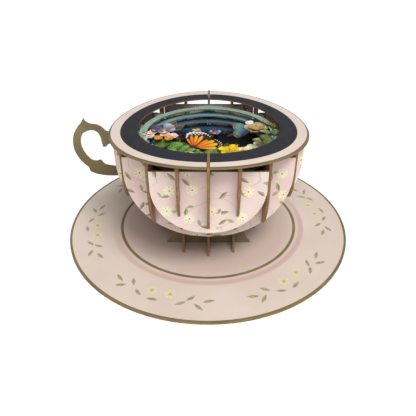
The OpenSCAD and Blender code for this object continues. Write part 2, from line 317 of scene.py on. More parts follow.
def sliceMaterial(name, faceAxis, index, hasHandle=False):
    # printed on both faces, browned on the cut edges, gold on the foot and the handle
    mat, shader = startMaterial(name, cardLook["roughness"])
    coords = objectCoords(mat)
    place = parts(mat, coords)
    side = place[1] if faceAxis == 0 else place[0]
    plane = combine(mat, plus(mat, side, 0.0613 * index), plus(mat, place[2], 0.0227 * index))
    cloud = stretch(mat, noise(mat, plane, 55, 3), 0.3, 0.7)
    ground = mixed(mat, cloud, printLook["ground"], printLook["groundWarm"])
    printed = floralPrint(mat, plane, ground)
    gold = below(mat, place[2], cupZ + printLook["goldFoot"], 0.15 * mm)
    if hasHandle:
        root = times(mat, below(mat, place[0], printLook["goldRoot"], 0.4 * mm),
                     below(mat, place[2], printLook["goldRootTop"], 0.4 * mm))
        gold = either(mat, gold, either(mat, root, below(mat, place[0], printLook["goldScroll"], 0.4 * mm)))
    facing = surfaceNormal(mat)[faceAxis]
    if faceAxis == 0:
        # painted shade darkens the upright slices' side faces, which stand in shade between the cross
        # slices, except on the cup's outermost sides
        inward = calc(mat, "LESS_THAN", times(mat, facing, index), 2.5)
        paintedFinShade = times(mat, inward, stretch(mat, noise(mat, plane, 40, 2), 0.3, 0.6, 0.55, 0.85))
        printed = mixed(mat, paintedFinShade, printed, printLook["paintedFinShade"])
    face = mixed(mat, gold, printed, brownedGold(mat, coords))
    return finishCard(mat, shader, coords, facing, face)


def dress(node, mat):
    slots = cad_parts[node].data.materials
    slots.clear()
    slots.append(mat)


slicesFrontToBack = {"slice_left_3": -3, "slice_left_2": -2, "slice_left_1": -1, "middle_slice": 0,
                     "slice_right_1": 1, "slice_right_2": 2, "slice_right_3": 3}
slicesAcross = {"cross_front_3": -3, "cross_front_2": -2, "cross_front_1": -1, "cross_back_1": 1,
                "cross_back_2": 2, "cross_back_3": 3}

for node, index in slicesFrontToBack.items():
    dress(node, sliceMaterial("print_" + node, 0, index))
for node, index in slicesAcross.items():
    dress(node, sliceMaterial("print_" + node, 1, index + 11))
dress("handle_slice", sliceMaterial("print_handle_slice", 1, 5, True))
print("slices dressed")


saucerLook = {
    "radius": 80 * mm,
    "goldRing": 50.7 * mm,
    "goldRingHalf": 0.85 * mm,
    "goldEdge": 79.2 * mm,
    "blush": 54.6 * mm,
    "blushHalf": 1.8 * mm,
    "blushSoft": 0.8 * mm,
    "wellFrom": 58 * mm,
    "wellTo": 44 * mm,
    "sprigs": 6,
    "sprigRadius": 67 * mm,
    "stemRadius": 66.8 * mm,
    "leafWidth": 2 * mm,
    "flowerRadius": 2.9 * mm,
    "heartRadius": 0.45 * mm,
    "inkSoft": 0.2 * mm,
    "firstSprig": 10,
    "ground": (0.67, 0.555, 0.47),
    "groundPale": (0.735, 0.63, 0.545),
    # the well's tone: its print, with painted shade from the cup mixed in
    "well": (0.60, 0.46, 0.395),
    "pink": (0.62, 0.385, 0.35),
    "leafDark": (0.175, 0.165, 0.06),
    "leafPale": (0.37, 0.34, 0.16),
    "petal": (0.80, 0.75, 0.48),
    "petalDeep": (0.60, 0.50, 0.20),
    # leaves of one sprig: degrees from its middle, distance from the centre, turn, length
    "leaves": [(-21, 67.2, 0.25, 6.6), (-17.5, 70.4, -0.75, 6.2), (-14.5, 65.0, 0.75, 6.2),
               (-9, 69.6, 0.5, 5.6), (-2, 70.6, -0.2, 6.0), (9.5, 69.2, -0.55, 5.8), (13, 65.4, -0.8, 6.0),
               (16.5, 70.6, 0.75, 6.4), (20.5, 66.8, -0.2, 6.6)],
    "flowers": [(-4.4, 65.3), (4.0, 64.8)],
}


def saucerMaterial():
    look = saucerLook
    mat, shader = startMaterial("saucer_print", 0.6)
    coords = objectCoords(mat)
    place = parts(mat, coords)
    flat = combine(mat, place[0], place[1])
    radius = vectorCalc(mat, "LENGTH", flat)
    cloud = stretch(mat, noise(mat, flat, 30, 3), 0.3, 0.7)
    colour = mixed(mat, cloud, look["ground"], look["groundPale"])
    # darker towards the cup: partly the well's print tone, partly painted shade from the cup
    colour = mixed(mat, stretch(mat, radius, look["wellFrom"], look["wellTo"]), colour, look["well"])
    frontness = stretch(mat, plus(mat, place[1], times(mat, place[0], -0.5)), 0.02, -0.03)
    blush = times(mat, ringBand(mat, radius, look["blush"], look["blushHalf"], look["blushSoft"]),
                  frontness)
    colour = mixed(mat, times(mat, blush, 0.75), colour, look["pink"])
    # one sprig repeats round the rim: place along the arc and out from the centre
    angle = calc(mat, "ARCTAN2", place[1], place[0])
    step = 2 * math.pi / look["sprigs"]
    turned = minus(mat, angle, math.radians(look["firstSprig"]))
    within = minus(mat, calc(mat, "FLOORED_MODULO", plus(mat, turned, step / 2), step), step / 2)
    perDegree = math.radians(1) * look["sprigRadius"]
    sprig = combine(mat, times(mat, within, look["sprigRadius"]), radius)
    leaves = None
    for degrees, distance, turn, length in look["leaves"]:
        leaf = leafMask(mat, sprig, degrees * perDegree, distance * mm, turn, length * mm,
                        look["leafWidth"], look["inkSoft"])
        leaves = leaf if leaves is None else either(mat, leaves, leaf)
    tone = mixed(mat, stretch(mat, noise(mat, flat, 700, 2), 0.35, 0.65), look["leafDark"],
                 look["leafPale"])
    colour = mixed(mat, times(mat, leaves, 0.8), colour, tone)
    line = ringBand(mat, radius, look["stemRadius"], 0.02 * mm, 0.12 * mm)
    stem = times(mat, line, below(mat, absolute(mat, within), 0.33, 0.05))
    colour = mixed(mat, times(mat, stem, 0.4), colour, (0.45, 0.36, 0.27))
    for degrees, distance in look["flowers"]:
        local = vectorCalc(mat, "SUBTRACT", sprig, (degrees * perDegree, distance * mm, 0))
        spot = parts(mat, local)
        reach = vectorCalc(mat, "LENGTH", local)
        petals = absolute(mat, calc(mat, "COSINE", times(mat, calc(mat, "ARCTAN2", spot[1], spot[0]), 3.0)))
        limit = times(mat, plus(mat, times(mat, petals, 0.4), 0.6), look["flowerRadius"])
        flower = below(mat, reach, limit, 0.25 * mm)
        tone = mixed(mat, stretch(mat, reach, 0.3 * mm, 2.8 * mm), look["petalDeep"], look["petal"])
        colour = mixed(mat, times(mat, flower, 0.85), colour, tone)
        colour = mixed(mat, below(mat, reach, look["heartRadius"], look["inkSoft"]), colour,
                       (0.35, 0.10, 0.03))
    gold = either(mat, ringBand(mat, radius, look["goldRing"], look["goldRingHalf"], 0.1 * mm),
                  above(mat, radius, look["goldEdge"] - 0.5 * mm))
    colour = mixed(mat, gold, colour, goldInk(mat, coords))
    return finishCard(mat, shader, coords, surfaceNormal(mat)[2], colour)


dress("saucer", saucerMaterial())
print("saucer dressed")


rimLook = {
    "navyTo": 44.1 * mm,
    "goldFromFront": 48.2 * mm,
    "goldFromBack": 49.3 * mm,
    "navy": (0.020, 0.021, 0.027),
    "navyWorn": (0.030, 0.032, 0.040),
    "pink": (0.76, 0.615, 0.535),
    "pinkPale": (0.82, 0.69, 0.61),
}


def rimMaterial():
    mat, shader = startMaterial("rim_print", 0.55)
    coords = objectCoords(mat)
    place = parts(mat, coords)
    flat = combine(mat, minus(mat, place[0], cupX), minus(mat, place[1], cupY))
    radius = vectorCalc(mat, "LENGTH", flat)
    navy = mixed(mat, stretch(mat, noise(mat, flat, 260, 4), 0.3, 0.75), rimLook["navy"],
                 rimLook["navyWorn"])
    pink = mixed(mat, stretch(mat, noise(mat, flat, 50, 3), 0.3, 0.7), rimLook["pink"], rimLook["pinkPale"])
    colour = mixed(mat, below(mat, radius, rimLook["navyTo"], 0.15 * mm), pink, navy)
    goldFrom = stretch(mat, place[1], -30 * mm, 0.0, rimLook["goldFromFront"], rimLook["goldFromBack"])
    colour = mixed(mat, above(mat, radius, goldFrom), colour, goldInk(mat, coords))
    return finishCard(mat, shader, coords, surfaceNormal(mat)[2], colour)


gardenLooks = {
    "garden_ring_1": {"pale": (0.35, 0.50, 0.42), "deep": (0.17, 0.34, 0.29)},
    "garden_ring_2": {"pale": (0.22, 0.44, 0.46), "deep": (0.08, 0.24, 0.28)},
    "garden_ring_3": {"pale": (0.085, 0.23, 0.36), "deep": (0.022, 0.075, 0.15)},
    # the floor's deep tone is near-black painted shade
    "garden_floor": {"pale": (0.028, 0.105, 0.20), "deep": (0.003, 0.004, 0.008)},
}


def gardenMaterial(node, look):
    # painted sky: brush strokes that follow the ring; painted shade turns the floor near-black towards the
    # front
    mat, shader = startMaterial("sky_" + node, 0.55)
    coords = objectCoords(mat)
    place = parts(mat, coords)
    x = minus(mat, place[0], cupX)
    y = minus(mat, place[1], cupY)
    flat = combine(mat, x, y)
    radius = vectorCalc(mat, "LENGTH", flat)
    angle = calc(mat, "ARCTAN2", y, x)
    strokes = noise(mat, combine(mat, times(mat, radius, 900), times(mat, angle, 5)), 1.0, 3, 0.6)
    tone = stretch(mat, strokes, 0.3, 0.72)
    # painted shade: the floor goes near-black towards the front, standing for the deep shade at the bottom
    # of the cup
    if node == "garden_floor":
        floorShadeEdge = plus(mat, y, times(mat, noise(mat, flat, 240, 4, 0.65), 0.012))
        tone = times(mat, stretch(mat, floorShadeEdge, 26.5 * mm, 32.5 * mm),
                     stretch(mat, strokes, 0.1, 0.7, 0.4, 1.0))
    colour = mixed(mat, tone, look["deep"], look["pale"])
    if node == "garden_ring_1":
        local, randoms = scatter(mat, flat, 1.7 * mm, 0.9)
        dots = times(mat, below(mat, vectorCalc(mat, "LENGTH", local), 0.42 * mm, 0.15 * mm),
                     times(mat, above(mat, randoms[1], 0.35), stretch(mat, x, -22 * mm, -27 * mm)))
        colour = mixed(mat, dots, colour, (0.62, 0.60, 0.42))
    return finishCard(mat, shader, coords, surfaceNormal(mat)[2], colour)


dress("rim_ring", rimMaterial())
for node, look in gardenLooks.items():
    dress(node, gardenMaterial(node, look))
print("rings dressed")


def deselect():
    bpy.ops.object.select_all(action="DESELECT")


def mode(name):
    bpy.ops.object.mode_set(mode=name)


def smooth(degrees):
    bpy.ops.object.shade_smooth_by_angle(angle=math.radians(degrees))


def pick(mesh, test):
    # in edit mode, selects just the points that pass the test
    grown = bmesh.from_edit_mesh(mesh)
    for point in grown.verts:
        point.select = test(point.co)
    grown.select_flush(True)
    grown.select_flush(False)
    bmesh.update_edit_mesh(mesh)


def applyAll(piece):
    bpy.ops.object.transform_apply(location=True, rotation=True, scale=True)
    return piece


def thicken(piece, thickness):
    solid = piece.modifiers.new("thickness", "SOLIDIFY")
    solid.thickness = thickness
    solid.offset = 0
    bpy.ops.object.modifier_apply(modifier=solid.name)
    smooth(40)


def makeBlade(name, look):
    # a leaf, petal or wing cell one millimetre long along +X, with UVs along and across it
    columns, rows = 12, 6
    deselect()
    bpy.ops.mesh.primitive_grid_add(x_subdivisions=columns, y_subdivisions=rows, size=1,
                                    location=(0.5, 0, 0))
    blade = applyAll(bpy.context.object)
    blade.name = name
    mode("EDIT")
    for row in range(rows + 1):
        y = row / rows - 0.5
        pick(blade.data, lambda co: abs(co.y - y) < 0.01)
        bpy.ops.transform.translate(value=(0, 0, look["cup"] * (2 * abs(y)) ** 1.5))
    for column in range(columns + 1):
        t = column / columns
        width = look["width"] * max(0.07, math.sin(math.pi * t ** look["belly"]) ** look["fullness"])
        width *= 1 + look.get("wave", 0) * (-1) ** column
        pick(blade.data, lambda co: abs(co.x - t) < 0.01)
        bpy.ops.transform.resize(value=(1, width, 1), center_override=(t, 0, 0))
        bpy.ops.transform.translate(value=(0, 0, look["curl"] * math.sin(2.2 * t)))
    mode("OBJECT")
    bpy.ops.transform.resize(value=(mm, mm, mm), center_override=(0, 0, 0))
    applyAll(blade)
    thicken(blade, look["thickness"] * mm)
    return blade


# width and lift as shares of the length; belly under 1 puts the widest place near the stalk
bladeLooks = {
    "leaf": {"width": 0.56, "belly": 0.85, "fullness": 0.8, "cup": 0.10, "curl": 0.10, "thickness": 0.035},
    "broadLeaf": {"width": 0.92, "belly": 0.66, "fullness": 0.62, "cup": 0.09, "curl": 0.08,
                  "thickness": 0.035},
    "frond": {"width": 0.24, "belly": 0.8, "fullness": 0.9, "cup": 0.04, "curl": 0.22, "thickness": 0.04},
    "petal": {"width": 0.72, "belly": 1.55, "fullness": 0.62, "cup": 0.10, "curl": 0.20, "thickness": 0.05},
    "widePetal": {"width": 0.98, "belly": 1.5, "fullness": 0.55, "cup": 0.12, "curl": 0.16,
                  "thickness": 0.05},
    "wavyPetal": {"width": 0.66, "belly": 1.4, "fullness": 0.6, "cup": 0.14, "curl": 0.24, "wave": 0.09,
                  "thickness": 0.05},
    "cell": {"width": 0.24, "belly": 2.0, "fullness": 0.5, "cup": 0.006, "curl": 0.01, "thickness": 0.02},
    "broadCell": {"width": 0.30, "belly": 1.6, "fullness": 0.5, "cup": 0.01, "curl": 0.01,
                  "thickness": 0.02},
}
blades = {name: makeBlade(name, look) for name, look in bladeLooks.items()}


def makeSpot():
    # a low round button one millimetre across
    deselect()
    bpy.ops.mesh.primitive_cylinder_add(vertices=12, radius=0.5 * mm, depth=0.16 * mm)
    spot = bpy.context.object
    spot.name = "spot"
    mode("EDIT")
    pick(spot.data, lambda co: co.z > 0)
    bpy.ops.mesh.bevel(offset=0.07 * mm, segments=2, affect="EDGES")
    mode("OBJECT")
    smooth(50)
    return spot


def makeHeart():
    # the domed middle of a flower, one millimetre across, with a dimpled crown
    deselect()
    bpy.ops.mesh.primitive_uv_sphere_add(segments=14, ring_count=8, radius=0.5 * mm)
    heart = bpy.context.object
    heart.name = "heart"
    mode("EDIT")
    pick(heart.data, lambda co: True)
    bpy.ops.transform.resize(value=(1, 1, 0.6), center_override=(0, 0, 0))
    pick(heart.data, lambda co: co.z > 0.26 * mm)
    bpy.ops.transform.translate(value=(0, 0, -0.1 * mm))
    mode("OBJECT")
    smooth(50)
    return heart


blades["spot"] = makeSpot()
blades["heart"] = makeHeart()


def ramp(mat, value, stops):
    node = mat.node_tree.nodes.new("ShaderNodeValToRGB")
    while len(node.color_ramp.elements) < len(stops):
        node.color_ramp.elements.new(0.5)
    for element, (place, colour) in zip(node.color_ramp.elements, stops):
        element.position = place
        element.color = (*colour, 1)
    feed(mat, node.inputs[0], value)
    return node.outputs[0]


def bladeMaterial(name, look):
    # print that runs from the stalk to the tip, with a midrib, side veins, blotches and a darker margin
    mat, shader = startMaterial(name, look.get("roughness", 0.5))
    coords = objectCoords(mat)
    uv = parts(mat, mat.node_tree.nodes.new("ShaderNodeUVMap").outputs[0])
    across = times(mat, absolute(mat, minus(mat, uv[1], 0.5)), 2.0)
    drift = times(mat, minus(mat, noise(mat, coords, 700, 3), 0.5), look.get("drift", 0.35))
    along = plus(mat, uv[0], drift)
    colours = look["colours"]
    colour = ramp(mat, along, [(i / (len(colours) - 1), tone) for i, tone in enumerate(colours)])
    slant = minus(mat, uv[0], times(mat, across, look.get("slant", 0.3)))
    wave = calc(mat, "SINE", times(mat, slant, 2 * math.pi * look.get("veins", 6)))
    streaks = calc(mat, "SINE", times(mat, across, 2 * math.pi * look.get("streaks", 2)))
    lines = streaks if look.get("streaks") else wave
    veins = times(mat, stretch(mat, lines, 0.55, 0.95), look.get("veinAmount", 0.5))
    colour = mixed(mat, veins, colour, look["vein"])
    rib = times(mat, stretch(mat, across, 0.14, 0.05), look.get("ribAmount", 0.6))
    colour = mixed(mat, rib, colour, look["vein"])
    blotch = stretch(mat, noise(mat, coords, 1500, 3), 0.55, 0.75)
    colour = mixed(mat, times(mat, blotch, look.get("blotchAmount", 0.35)), colour, look["margin"])
    margin = either(mat, stretch(mat, across, look.get("marginFrom", 0.8), 0.98),
                    stretch(mat, uv[0], 0.93, 0.99))
    colour = mixed(mat, times(mat, margin, look.get("marginAmount", 0.7)), colour, look["margin"])
    feed(mat, shader.inputs["Base Color"], colour)
    relief = plus(mat, times(mat, lines, 0.5), noise(mat, coords, 2600, 3))
    bump(mat, shader, relief, 0.04 * mm, 0.35)
    return mat


def speckMaterial(name, dark, pale, scale=1800, roughness=0.55):
    mat, shader = startMaterial(name, roughness)
    coords = objectCoords(mat)
    grain = noise(mat, coords, scale, 4, 0.65)
    feed(mat, shader.inputs["Base Color"], mixed(mat, stretch(mat, grain, 0.35, 0.68), dark, pale))
    bump(mat, shader, grain, 0.06 * mm, 0.4)
    return mat


leafLooks = {
    "green": {"colours": [(0.035, 0.10, 0.012), (0.09, 0.21, 0.03), (0.17, 0.34, 0.06)],
              "vein": (0.26, 0.42, 0.11), "margin": (0.02, 0.055, 0.01), "marginFrom": 0.80,
              "blotchAmount": 0.45},
    "olive": {"colours": [(0.05, 0.055, 0.01), (0.10, 0.115, 0.022), (0.17, 0.18, 0.045)],
              "vein": (0.26, 0.26, 0.09), "margin": (0.035, 0.035, 0.008), "marginFrom": 0.86},
    "sage": {"colours": [(0.10, 0.12, 0.03), (0.25, 0.27, 0.10), (0.42, 0.42, 0.20)],
             "vein": (0.12, 0.13, 0.04), "margin": (0.06, 0.06, 0.02), "marginFrom": 0.86},
    "dusk": {"colours": [(0.02, 0.02, 0.006), (0.05, 0.05, 0.015), (0.08, 0.075, 0.02)],
             "vein": (0.12, 0.10, 0.03), "margin": (0.34, 0.20, 0.07), "marginFrom": 0.82,
             "marginAmount": 0.9},
    "bark": {"colours": [(0.012, 0.006, 0.003), (0.035, 0.018, 0.008), (0.085, 0.045, 0.02)],
             "vein": (0.10, 0.06, 0.03), "margin": (0.01, 0.005, 0.003)},
    "wine": {"colours": [(0.02, 0.004, 0.003), (0.10, 0.018, 0.012), (0.16, 0.035, 0.02)],
             "vein": (0.25, 0.06, 0.03), "margin": (0.02, 0.004, 0.003)},
    "straw": {"colours": [(0.20, 0.12, 0.03), (0.55, 0.42, 0.19), (0.72, 0.62, 0.36)],
              "vein": (0.35, 0.22, 0.08), "margin": (0.14, 0.08, 0.03), "marginFrom": 0.84},
}
petalLooks = {
    "yellow": {"colours": [(0.35, 0.16, 0.005), (0.78, 0.55, 0.008), (0.86, 0.70, 0.02)],
               "vein": (0.45, 0.25, 0.005), "margin": (0.55, 0.36, 0.01), "streaks": 3, "veinAmount": 0.3,
               "ribAmount": 0.4, "blotchAmount": 0.2},
    "cream": {"colours": [(0.60, 0.46, 0.16), (0.80, 0.75, 0.50), (0.90, 0.87, 0.70)],
              "vein": (0.50, 0.44, 0.20), "margin": (0.46, 0.41, 0.20), "streaks": 2.5, "veinAmount": 0.35,
              "marginFrom": 0.88, "blotchAmount": 0.15},
    "peach": {"colours": [(0.62, 0.25, 0.03), (0.46, 0.34, 0.13), (0.60, 0.50, 0.28)],
              "vein": (0.26, 0.16, 0.05), "margin": (0.22, 0.16, 0.06), "streaks": 2.5, "veinAmount": 0.5,
              "marginFrom": 0.84},
    "white": {"colours": [(0.55, 0.48, 0.35), (0.80, 0.77, 0.70), (0.90, 0.88, 0.84)],
              "vein": (0.50, 0.45, 0.36), "margin": (0.55, 0.50, 0.40), "streaks": 2, "veinAmount": 0.3,
              "blotchAmount": 0.15},
    "lilac": {"colours": [(0.12, 0.08, 0.17), (0.36, 0.34, 0.42), (0.60, 0.60, 0.64)],
              "vein": (0.14, 0.11, 0.19), "margin": (0.12, 0.09, 0.16), "streaks": 3, "veinAmount": 0.4,
              "marginAmount": 0.8},
    "plum": {"colours": [(0.20, 0.14, 0.24), (0.06, 0.035, 0.085), (0.035, 0.02, 0.05)],
             "vein": (0.24, 0.19, 0.30), "margin": (0.16, 0.12, 0.20), "streaks": 3, "veinAmount": 0.35},
    "blush": {"colours": [(0.75, 0.40, 0.25), (0.85, 0.66, 0.55), (0.90, 0.78, 0.70)],
              "vein": (0.60, 0.30, 0.20), "margin": (0.62, 0.40, 0.32), "streaks": 2, "veinAmount": 0.3,
              "blotchAmount": 0.2},
    "amber": {"colours": [(0.86, 0.60, 0.05), (0.85, 0.36, 0.03), (0.74, 0.18, 0.02)],
              "vein": (0.35, 0.07, 0.01), "margin": (0.50, 0.12, 0.02), "streaks": 2, "veinAmount": 0.4},
    "orangeCell": {"colours": [(0.66, 0.09, 0.01), (0.82, 0.30, 0.012), (0.86, 0.50, 0.03)],
                   "vein": (0.62, 0.12, 0.01), "margin": (0.05, 0.014, 0.005), "streaks": 2,
                   "veinAmount": 0.35, "ribAmount": 0.2, "marginFrom": 0.66, "marginAmount": 0.95,
                   "blotchAmount": 0.05, "drift": 0.5},
    "redCell": {"colours": [(0.50, 0.05, 0.01), (0.74, 0.12, 0.015), (0.80, 0.24, 0.03)],
                "vein": (0.80, 0.40, 0.03), "margin": (0.05, 0.01, 0.005), "streaks": 2, "veinAmount": 0.3,
                "marginFrom": 0.66, "marginAmount": 0.95, "blotchAmount": 0.05, "drift": 0.5},
    "tealCell": {"colours": [(0.05, 0.045, 0.18), (0.03, 0.16, 0.20), (0.05, 0.27, 0.19)],
                 "vein": (0.10, 0.36, 0.34), "margin": (0.01, 0.03, 0.05), "streaks": 3, "veinAmount": 0.3,
                 "marginFrom": 0.88, "drift": 0.4, "roughness": 0.4},
    "blueCell": {"colours": [(0.09, 0.05, 0.24), (0.045, 0.06, 0.26), (0.03, 0.15, 0.30)],
                 "vein": (0.12, 0.20, 0.45), "margin": (0.012, 0.02, 0.06), "streaks": 3, "veinAmount": 0.3,
                 "marginFrom": 0.88, "drift": 0.4, "roughness": 0.4},
}
paper = {name: bladeMaterial(name + "_paper", look) for name, look in {**leafLooks, **petalLooks}.items()}
paper["gold"] = speckMaterial("gold_heart", (0.50, 0.24, 0.01), (0.88, 0.62, 0.03))
paper["ember"] = speckMaterial("ember_heart", (0.55, 0.10, 0.01), (0.85, 0.32, 0.03))
paper["rust"] = speckMaterial("rust_heart", (0.25, 0.03, 0.01), (0.62, 0.14, 0.02))
paper["wingDark"] = speckMaterial("wing_dark", (0.008, 0.006, 0.006), (0.05, 0.028, 0.015), 900)
paper["wingTeal"] = speckMaterial("wing_teal_dark", (0.006, 0.012, 0.02), (0.03, 0.05, 0.07), 900)
paper["wingPale"] = speckMaterial("wing_pale", (0.60, 0.52, 0.50), (0.86, 0.80, 0.76))
paper["wingTan"] = speckMaterial("wing_tan", (0.11, 0.065, 0.022), (0.26, 0.17, 0.075))
paper["stalk"] = speckMaterial("stalk_green", (0.05, 0.08, 0.015), (0.14, 0.18, 0.05))
print("paper ready")


def put(name, paperName, x, y, z, turn=0, size=1, tilt=0, roll=0, within=None):
    # copies a shape into a group: turned about Z, lifted at its far end by tilt, rolled about its length
    copied = blades[name].copy()
    copied.data = copied.data.copy()
    bpy.context.collection.objects.link(copied)
    copied.data.materials.clear()
    copied.data.materials.append(paper[paperName])
    at = Matrix.Translation((x * mm, y * mm, z * mm)) @ Matrix.Rotation(math.radians(turn), 4, "Z")
    at = at @ Matrix.Rotation(-math.radians(tilt), 4, "Y") @ Matrix.Rotation(math.radians(roll), 4, "X")
    at = at @ Matrix.Diagonal((size, size, size, 1))
    cup = Matrix.Translation((cupX, cupY, cupZ))
    copied.data.transform(cup @ (within or Matrix.Identity(4)) @ at)
    return copied


flowerForm = {
    "layerLift": 0.35,  # each further ring of petals: higher, smaller and steeper
    "layerShrink": 0.25,
    "layerTilt": 12,
    "sizeSwing": 0.12,  # petals differ a little in size and roll
    "roll": 6,
    "stamens": 7,
    "stamenRing": 0.36,
    "stamenSize": 0.22,
    "heartLift": 0.7,
}


def flower(x, y, z, look):
    # rings of petals, each turned half a step from the one under it, and a domed heart with stamens
    made = []
    form = flowerForm
    count, names = look["petals"], look["papers"]
    for layer in range(look.get("layers", 1)):
        tilt = look.get("tilt", 10) + form["layerTilt"] * layer
        for i in range(count):
            turn = look.get("turn", 0) + 360 * (i + 0.5 * layer) / count
            size = look["radius"] * (1 - form["layerShrink"] * layer)
            size *= 1 + form["sizeSwing"] * math.sin(2.4 * i + layer)
            made.append(put(look["blade"], names[i % len(names)], x, y, z + form["layerLift"] * layer, turn,
                            size, tilt, form["roll"] * math.sin(3.1 * i)))
    core = look["heart"]
    made.append(put("heart", look.get("heartPaper", "gold"), x, y, z + form["heartLift"], 0, core))
    for i in range(form["stamens"]):
        a = 2 * math.pi * i / form["stamens"]
        reach = form["stamenRing"] * core
        made.append(put("spot", look.get("stamenPaper", "rust"), x + reach * math.cos(a),
                        y + reach * math.sin(a), z + form["heartLift"] + 0.02 + 0.14 * core, 0,
                        form["stamenSize"] * core))
    return made


def stalk(radius, fromAngle, toAngle, z, thickness):
    # a round stalk that follows a ring
    deselect()
    bpy.ops.mesh.primitive_circle_add(vertices=72, radius=radius * mm)
    made = bpy.context.object
    mode("EDIT")
    span = toAngle - fromAngle
    pick(made.data, lambda co: (math.degrees(math.atan2(co.y, co.x)) - fromAngle) % 360 > span)
    bpy.ops.mesh.delete(type="VERT")
    mode("OBJECT")
    bpy.ops.object.convert(target="CURVE")
    made.data.bevel_depth = thickness / 2 * mm
    made.data.bevel_resolution = 1
    made.data.use_fill_caps = True
    bpy.ops.object.convert(target="MESH")
    made = bpy.context.object
    made.data.materials.append(paper["stalk"])
    made.data.transform(Matrix.Translation((cupX, cupY, cupZ + z * mm)))
    return made


def finishPiece(name, node, shapes):
    # one piece out of its shapes, standing for a CAD node
    deselect()
    for shape in shapes:
        shape.select_set(True)
    bpy.context.view_layer.objects.active = shapes[0]
    bpy.ops.object.join()
    piece = bpy.context.object
    piece.name = name
    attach(piece, "garden")
    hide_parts(node)
    return piece


def topOf(node):
    # height of a CAD piece's top over the saucer, in millimetres
    return (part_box(node)[1].z - cupZ) / mm


ring1, ring2, ring3, gardenFloor = (topOf(node) for node in gardenLooks)


def smoothLoop(points, steps):
    # a closed curve through the given points
    out = []
    for i in range(len(points)):
        a, b, c, d = (points[(i + k) % len(points)] for k in (-1, 0, 1, 2))
        for s in range(steps):
            t = s / steps
            out.append(tuple(b[k] + t / 2 * ((c[k] - a[k]) + t * ((2 * a[k] - 5 * b[k] + 4 * c[k] - d[k])
                       + t * (3 * b[k] - a[k] - 3 * c[k] + d[k]))) for k in (0, 1)))
    return out


def makeWing(points, paperName, within):
    # a thin sheet inside a smooth outline, with an inset border that stands a little proud
    outline = smoothLoop(points, 4)
    area = sum(a[0] * b[1] - b[0] * a[1] for a, b in zip(outline, outline[1:] + outline[:1]))
    if area < 0:
        outline.reverse()
    deselect()
    bpy.ops.mesh.primitive_circle_add(vertices=len(outline), radius=mm, fill_type="NGON")
    wing = bpy.context.object
    for point, (x, y) in zip(wing.data.vertices, outline):
        point.co = (x * mm, y * mm, 0)
    mode("EDIT")
    bpy.ops.mesh.select_all(action="SELECT")
    bpy.ops.mesh.inset(thickness=0.3 * mm, depth=-0.06 * mm)
    mode("OBJECT")
    solid = wing.modifiers.new("thickness", "SOLIDIFY")
    solid.thickness = 0.16 * mm
    solid.offset = -1
    bpy.ops.object.modifier_apply(modifier=solid.name)
    wing.data.materials.append(paper[paperName])
    wing.data.transform(Matrix.Translation((cupX, cupY, cupZ)) @ within)
    return wing


def leaning(look):
    # the frame of a butterfly, which leans up from its place
    place = Matrix.Translation([v * mm for v in look["at"]])
    return place @ Matrix.Rotation(math.radians(look["lean"]), 4, "X")


def wingCells(cells, blade, x, y, lift, within):
    # each cell starts some way out from the wing's base, along its own direction
    made = []
    for turn, start, length, paperName in cells:
        a = math.radians(turn)
        made.append(put(blade, paperName, x + start * math.cos(a), y + start * math.sin(a), lift, turn,
                        length, 0, 0, within))
    return made


orangeLook = {
    "at": (-8, 0.5, gardenFloor + 0.6),
    "lean": 18,
    "fore": [(0, 0), (-3.2, 4.6), (-4.7, 8), (-4.2, 11.6), (0, 13.2), (4.8, 13.2), (8.2, 11), (9.9, 8),
             (6.2, 4.8)],
    "hind": [(0, -0.6), (3, 2.6), (6.4, 5.6), (11.2, 6.6), (14.2, 5), (15.6, 2.2), (14, -0.3), (9.6, -1.2),
             (4.6, -1.5)],
    # cells of each wing: direction, distance from the base, length
    "foreCells": [(116, 1.2, 6.6, "redCell"), (98, 1.0, 8.4, "redCell"), (80, 1.0, 8.8, "orangeCell"),
                  (62, 1.0, 9.4, "orangeCell")],
    "hindCells": [(39, 1.4, 8.4, "redCell"), (26, 1.4, 11.0, "orangeCell"), (13, 1.4, 12.0, "orangeCell"),
                  (0, 1.4, 11.0, "orangeCell")],
    # pale marks: place and size
    "foreMarks": [(-3.6, 9.2, 1.3), (-3.2, 10.6, 1.6), (-1.9, 11.5, 1.8), (-0.1, 12.0, 1.9),
                  (1.7, 12.0, 1.7), (3.4, 11.9, 1.7), (5.0, 11.6, 1.4), (6.4, 11.0, 1.1), (7.6, 10.1, 0.9),
                  (8.6, 8.9, 0.7), (-3.9, 8.0, 0.8), (0.8, 10.5, 0.9), (2.6, 10.5, 0.9), (-1.0, 10.1, 0.8),
                  (4.4, 10.3, 0.7)],
    "hindMarks": [(11.4, 6.0, 0.5), (12.5, 5.5, 0.6), (13.5, 4.7, 0.6), (14.3, 3.7, 0.6), (14.8, 2.6, 0.65),
                  (14.6, 1.5, 0.6), (14.1, 0.5, 0.6), (13.2, -0.2, 0.5), (13.2, 3.9, 0.4), (13.8, 2.9, 0.4),
                  (13.7, 1.9, 0.4), (13.3, 0.9, 0.4), (11.6, -0.6, 0.45), (9.9, -0.8, 0.4)],
}


def makeOrangeButterfly():
    look = orangeLook
    within = leaning(look)
    hindWithin = within @ Matrix.Translation((0, 0, 0.35 * mm))
    shapes = [makeWing(look["fore"], "wingDark", within), makeWing(look["hind"], "wingDark", hindWithin)]
    shapes += wingCells(look["foreCells"], "cell", 0, 0, 0.12, within)
    shapes += wingCells(look["hindCells"], "cell", 0, -0.4, 0.12, hindWithin)
    for marks, group in ((look["foreMarks"], within), (look["hindMarks"], hindWithin)):
        for x, y, size in marks:
            shapes.append(put("spot", "wingPale", x, y, 0.02, 0, size, 0, 0, group))
    for i in range(6):  # a tapering body of six rings
        shapes.append(put("heart", "wingDark", -0.9 + 0.75 * i, -0.9 + 0.1 * i, 0.6, 0, 1.5 - 0.14 * i, 0,
                          0, within))
    for side in (150, 168):  # feelers
        shapes.append(put("frond", "wingDark", -1.2, -0.7, 0.8, side, 4.2, 8, 0, within))
    return finishPiece("orange_butterfly_wings", "orange_butterfly", shapes)


